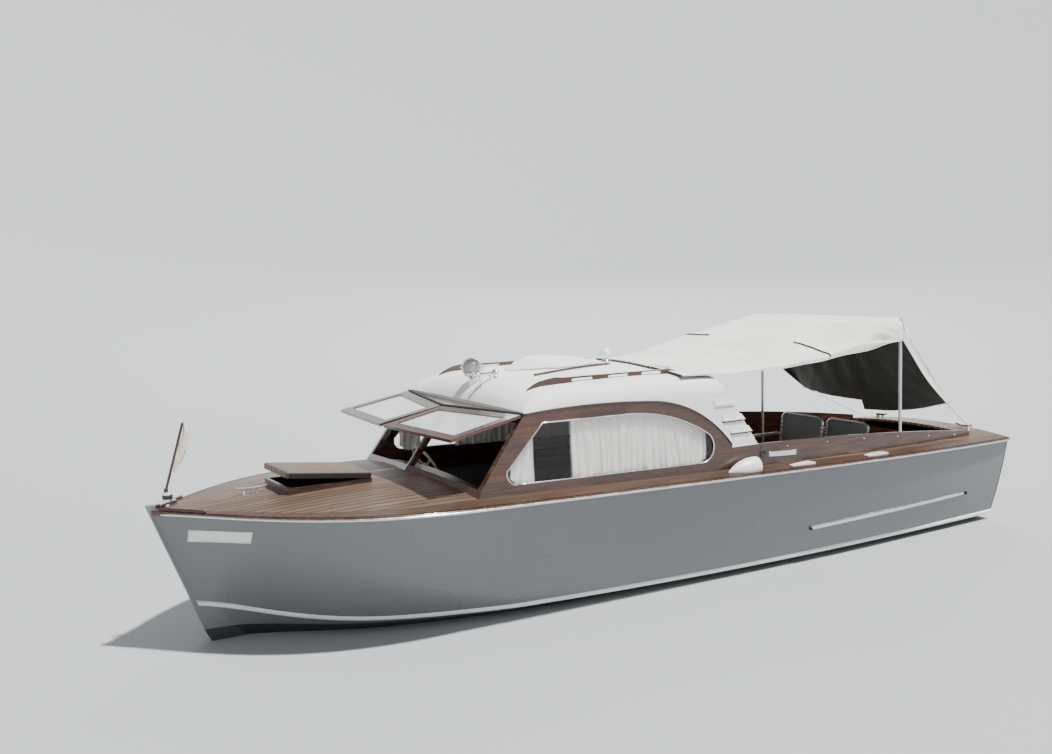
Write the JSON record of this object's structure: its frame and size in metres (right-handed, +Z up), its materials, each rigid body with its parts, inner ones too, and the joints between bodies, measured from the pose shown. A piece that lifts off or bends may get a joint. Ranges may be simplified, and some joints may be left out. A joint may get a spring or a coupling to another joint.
{
  "type": "wooden cabin cruiser",
  "caption": "Wooden cabin cruiser with hard-chine hull, raised cabin, opening windshield, foredeck hatch and a cloth awning over the open cockpit.",
  "frame": {"origin": "amidships on the waterline, on the centre line", "axes": "+X towards the bow, +Y to port, +Z up"},
  "size_m": [7.6574, 2.31, 2.556],
  "materials": {
    "bottom_paint": "matt antifouling over planking",
    "topside_paint": "gloss enamel over planking",
    "varnished_mahogany": "gloss varnish",
    "white_trim_paint": "gloss",
    "roof_canvas": "painted canvas, satin",
    "awning_cloth": "matt",
    "glass": "clear",
    "chrome": "polished",
    "lamp_globe": "opal",
    "bronze": "dull",
    "engine_paint": "satin",
    "rough_timber": "plain",
    "cushion_fabric": "woven",
    "rope": "laid",
    "wheel_plastic": "gloss",
    "chair_tube": "satin"
  },
  "bodies": {
    "hull": {"bottom_port": "bottom_paint", "bottom_starboard": "bottom_paint", "topside_port": "topside_paint", "topside_starboard": "topside_paint", "transom": "varnished_mahogany", "stem_and_keel": "bottom_paint", "rub_rails": "varnished_mahogany", "chine_rails": "white_trim_paint", "guard_mouldings": "chrome", "foredeck": "varnished_mahogany", "aft_deck": "varnished_mahogany", "side_deck_port": "varnished_mahogany", "side_deck_starboard": "varnished_mahogany", "coaming_port": "varnished_mahogany", "coaming_starboard": "varnished_mahogany", "hatch_coaming": "varnished_mahogany", "windshield_frame": "varnished_mahogany", "cabin_side_port": "varnished_mahogany", "cabin_side_starboard": "varnished_mahogany", "side_window_glass": "glass", "cabin_roof": "roof_canvas", "louvre_quarter_port": "white_trim_paint", "louvre_quarter_starboard": "white_trim_paint", "grab_rails": "varnished_mahogany", "sole": "varnished_mahogany", "aft_bulkhead": "varnished_mahogany", "cockpit_lining": "varnished_mahogany", "helm_console": "varnished_mahogany", "berths": "rough_timber", "settees": "cushion_fabric", "curtains": "awning_cloth", "engine": "engine_paint", "engine_bearers": "rough_timber", "shaft_strut": "bronze", "awning_canvas": "awning_cloth", "awning_frame": "chair_tube", "guy_lines": "rope", "cleats": "chrome", "vents": "white_trim_paint", "step_pads": "white_trim_paint", "searchlight_foot": "chrome", "horn": "chrome", "mast_light": "lamp_globe", "bow_light": "chrome", "bow_staff": "varnished_mahogany", "pennant": "awning_cloth", "spare_canvas": "awning_cloth", "chair_frames": "chair_tube", "chair_cloths": "cushion_fabric"},
    "hatch": {"hatch_lid": "varnished_mahogany"},
    "windshield_sash_port": {"sash_port": "varnished_mahogany", "sash_glass_port": "glass"},
    "windshield_sash_starboard": {"sash_starboard": "varnished_mahogany", "sash_glass_starboard": "glass"},
    "cabin_door": {"cabin_door": "varnished_mahogany"},
    "steering_wheel": {"steering_wheel": "wheel_plastic"},
    "propeller_and_shaft": {"propeller": "bronze", "propeller_shaft": "bronze"},
    "rudder": {"rudder": "bronze"},
    "searchlight": {"searchlight": "chrome"}
  },
  "joints": [
    {"name": "hatch_hinge", "type": "hinge", "parent": "hull", "child": "hatch", "pos_m": [2.2947, 0, 1.0483], "axis": [0, -1, 0], "range_deg": [-6.5, 76]},
    {"name": "sash_port_hinge", "type": "hinge", "parent": "hull", "child": "windshield_sash_port", "pos_m": [1.6033, 0.00323, 1.46192], "axis": [0.1595, -0.9871, -0.0166], "range_deg": [-41, 12]},
    {"name": "sash_starboard_hinge", "type": "hinge", "parent": "hull", "child": "windshield_sash_starboard", "pos_m": [1.6033, -0.00323, 1.46192], "axis": [-0.1595, -0.9871, 0.0166], "range_deg": [-41, 12]},
    {"name": "cabin_door_hinge", "type": "hinge", "parent": "hull", "child": "cabin_door", "pos_m": [-0.2743, 0.28, 0.945], "axis": [0, 0, -1], "range_deg": [0, 110]},
    {"name": "steering_turn", "type": "hinge", "parent": "hull", "child": "steering_wheel", "pos_m": [1.61, -0.56, 0.85], "axis": [-0.8829, 0, 0.4695], "range_deg": [-540, 540]},
    {"name": "rudder_turn", "type": "hinge", "parent": "hull", "child": "rudder", "pos_m": [-3.33, 0, -0.378], "axis": [0, 0, 1], "range_deg": [-35, 35]},
    {"name": "propeller_spin", "type": "hinge", "parent": "hull", "child": "propeller_and_shaft", "pos_m": [-2.96, 0, -0.385], "axis": [0.9615, 0, 0.2748], "continuous": true},
    {"name": "searchlight_swivel", "type": "hinge", "parent": "hull", "child": "searchlight", "pos_m": [1.325, 0, 1.668], "axis": [0, 0, 1], "range_deg": [-170, 170]}
  ],
  "couplings": [
    {"joint": "rudder_turn", "follows": "steering_turn", "ratio": 0.064815}
  ]
}
